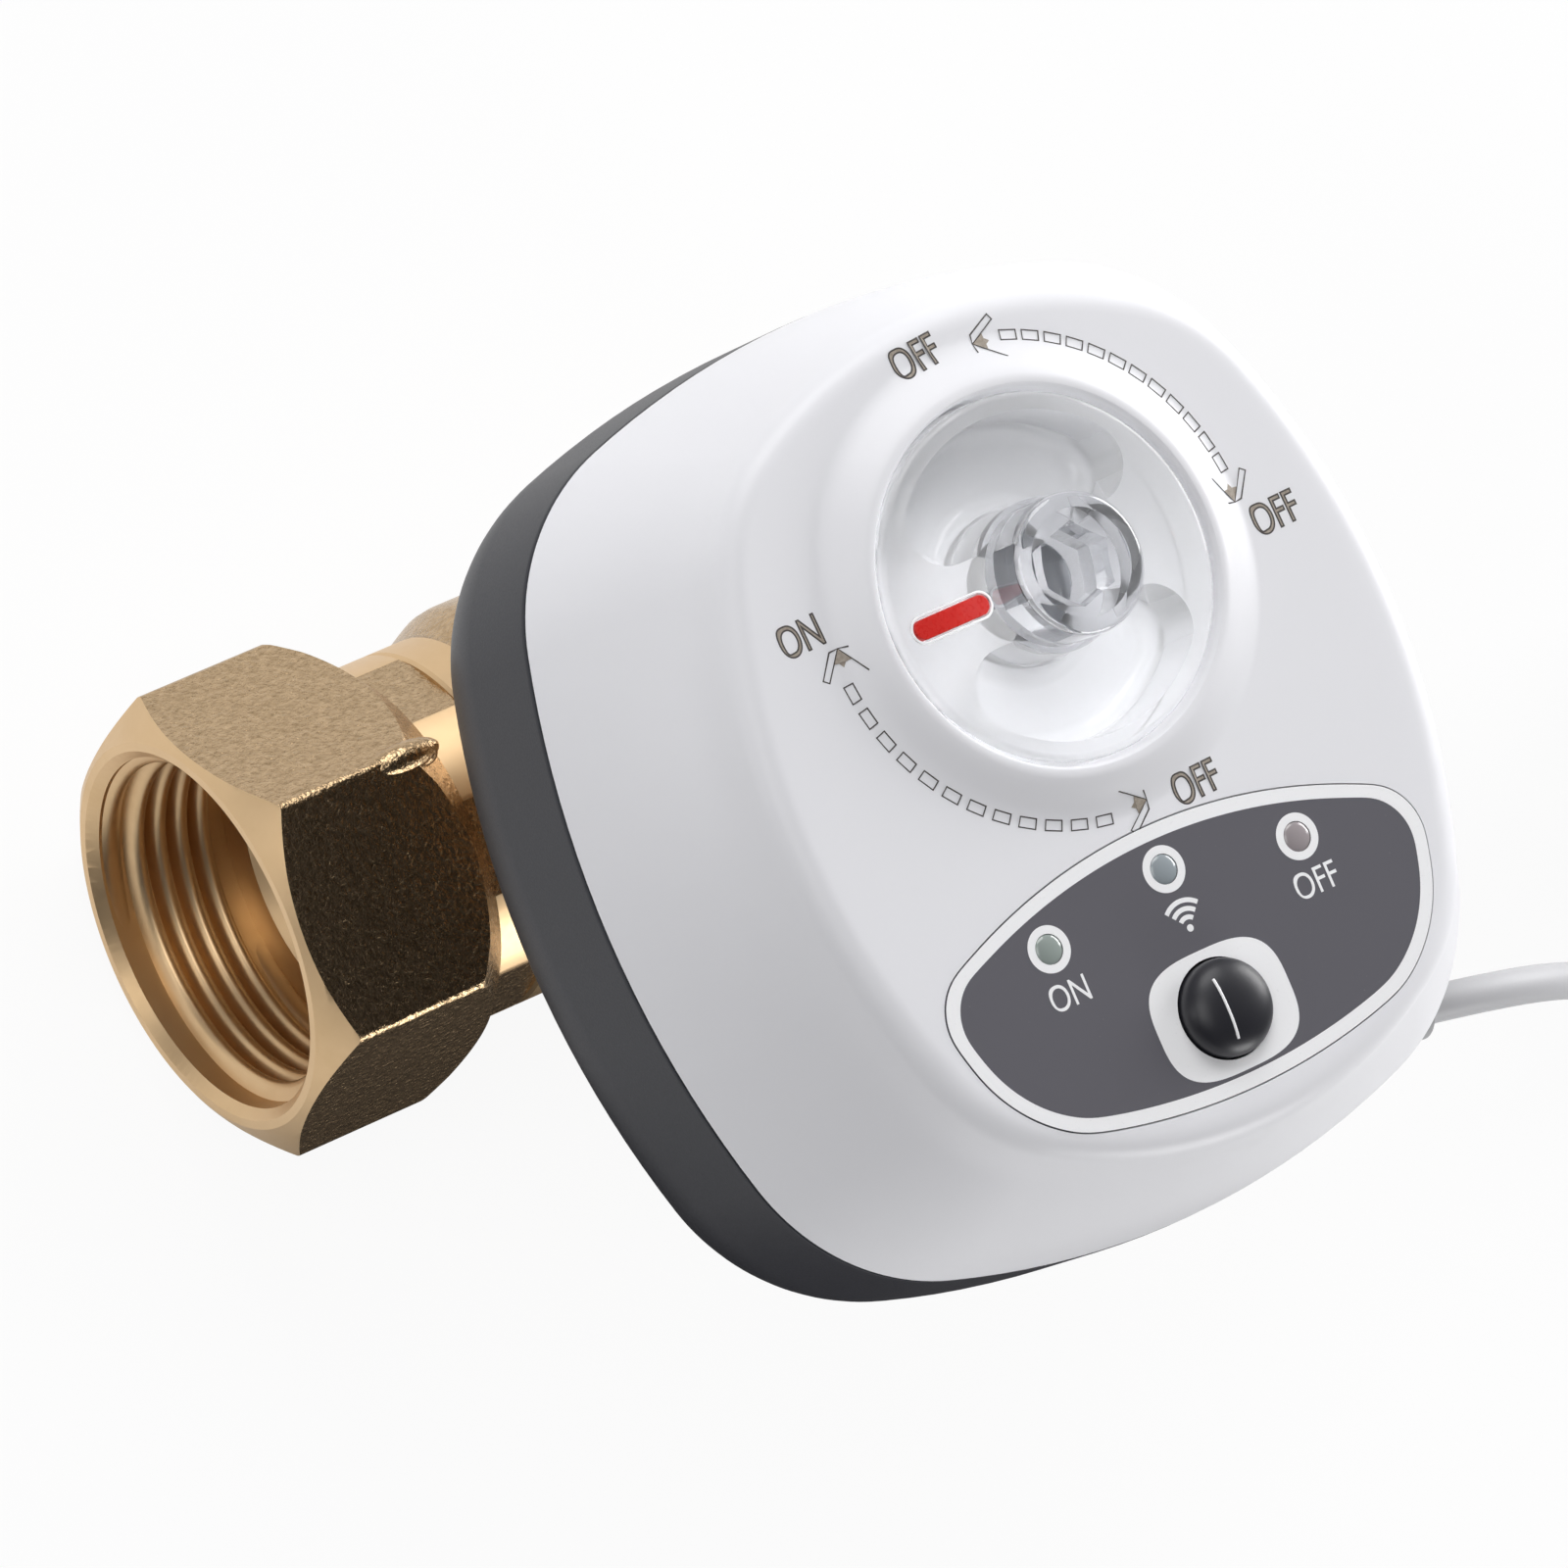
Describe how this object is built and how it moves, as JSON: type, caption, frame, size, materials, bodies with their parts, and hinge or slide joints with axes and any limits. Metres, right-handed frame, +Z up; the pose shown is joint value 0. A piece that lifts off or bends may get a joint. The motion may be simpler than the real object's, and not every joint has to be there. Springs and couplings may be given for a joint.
{
  "type": "smart water valve",
  "caption": "Motorised shut-off valve: two-piece brass ball valve with inside-threaded ends, geared actuator with hand knob, lamps, push button and low-voltage lead",
  "frame": {"origin": "on the surface the valve stands on, under the middle of the actuator's housing", "axes": "+X along the pipe towards the outlet, +Z up along the stem, the control panel towards -Y"},
  "size_m": [0.1924, 0.0944, 0.1099],
  "materials": {
    "forged_brass": "forged and turned, dull",
    "chromed_brass": "polished",
    "white_seats": "fluoropolymer",
    "black_rubber": "moulded",
    "grey_rubber": "moulded",
    "turned_brass": "turned",
    "dark_plastic": "fine spark texture",
    "white_plastic": "satin",
    "dark_panel": "printed film",
    "zinc_screws": "zinc plated",
    "steel_plate": "punched and plated",
    "gear_plastic": "acetal",
    "motor_can": "drawn and plated",
    "black_plastic": "moulded",
    "clear_plastic": "clear polycarbonate",
    "red_plastic": "moulded",
    "green_board": "solder mask",
    "white_connector": "moulded",
    "clear_lenses": "clear moulding",
    "black_rubber_cap": "satin silicone",
    "grey_jacket": "PVC jacket",
    "nickel_barrel": "nickel plated"
  },
  "bodies": {
    "valve": {"end_cap": "forged_brass", "valve_body": "forged_brass", "seat_rings": "white_seats", "cap_gasket": "black_rubber", "stem_seals": "black_rubber", "thrust_washer": "white_seats", "base_shell": "dark_plastic", "case_seal": "black_rubber", "cable_gland": "grey_rubber", "mounting_screws": "zinc_screws", "cover_shell": "white_plastic", "panel_label": "dark_panel", "case_screws": "zinc_screws", "lower_plate": "steel_plate", "upper_plate": "steel_plate", "plate_pillars": "turned_brass", "frame_screws": "zinc_screws", "shaft_bushes": "turned_brass", "gear_pins": "steel_plate", "drive_motor": "motor_can", "motor_screws": "zinc_screws", "position_sensors": "black_plastic", "knob_seal": "black_rubber", "circuit_board": "green_board", "board_screws": "zinc_screws", "radio_module": "motor_can", "board_chips": "black_plastic", "capacitor": "motor_can", "cable_connector": "white_connector", "status_leds": "white_connector", "status_lenses": "clear_lenses", "tact_switch": "black_plastic", "power_cord": "grey_jacket", "cord_coil": "grey_jacket", "cord_plug": "black_plastic", "plug_barrel": "nickel_barrel"},
    "drive_wheel": {"output_gear": "gear_plastic"},
    "spindle": {"clear_knob": "clear_plastic", "knob_pointer": "red_plastic", "output_shaft": "steel_plate", "valve_stem": "turned_brass", "ball": "chromed_brass", "retaining_ring": "steel_plate", "clutch_washers": "steel_plate", "position_collar": "black_plastic", "position_magnet": "motor_can"},
    "second_wheel": {"second_gear": "gear_plastic"},
    "first_wheel": {"first_gear": "gear_plastic"},
    "motor_rotor": {"motor_pinion": "turned_brass"},
    "button": {"push_button": "black_rubber_cap"}
  },
  "joints": [
    {"name": "drive_turn", "type": "hinge", "parent": "valve", "child": "drive_wheel", "pos_m": [0, 0.0135, 0.06], "axis": [0, 0, 1], "range_deg": [-90, 0]},
    {"name": "manual_turn", "type": "hinge", "parent": "drive_wheel", "child": "spindle", "pos_m": [0, 0.0135, 0.06], "axis": [0, 0, 1], "range_deg": [-90, 90]},
    {"name": "second_turn", "type": "hinge", "parent": "valve", "child": "second_wheel", "pos_m": [0.00821, -0.00905, 0.06], "axis": [0, 0, 1], "range_deg": [0, 360]},
    {"name": "first_turn", "type": "hinge", "parent": "valve", "child": "first_wheel", "pos_m": [-0.00532, -0.01398, 0.06], "axis": [0, 0, 1], "range_deg": [-1080, 0]},
    {"name": "motor_turn", "type": "hinge", "parent": "valve", "child": "motor_rotor", "pos_m": [-0.0166, -0.00987, 0.06], "axis": [0, 0, 1], "range_deg": [0, 3240]},
    {"name": "button_press", "type": "slide", "parent": "valve", "child": "button", "axis": [0, 0, -1], "range_m": [0, 0.0008], "stiffness_N_per_m": 1500}
  ],
  "couplings": [
    {"joint": "second_turn", "follows": "drive_turn", "ratio": -4},
    {"joint": "first_turn", "follows": "drive_turn", "ratio": 12},
    {"joint": "motor_turn", "follows": "drive_turn", "ratio": -36}
  ]
}
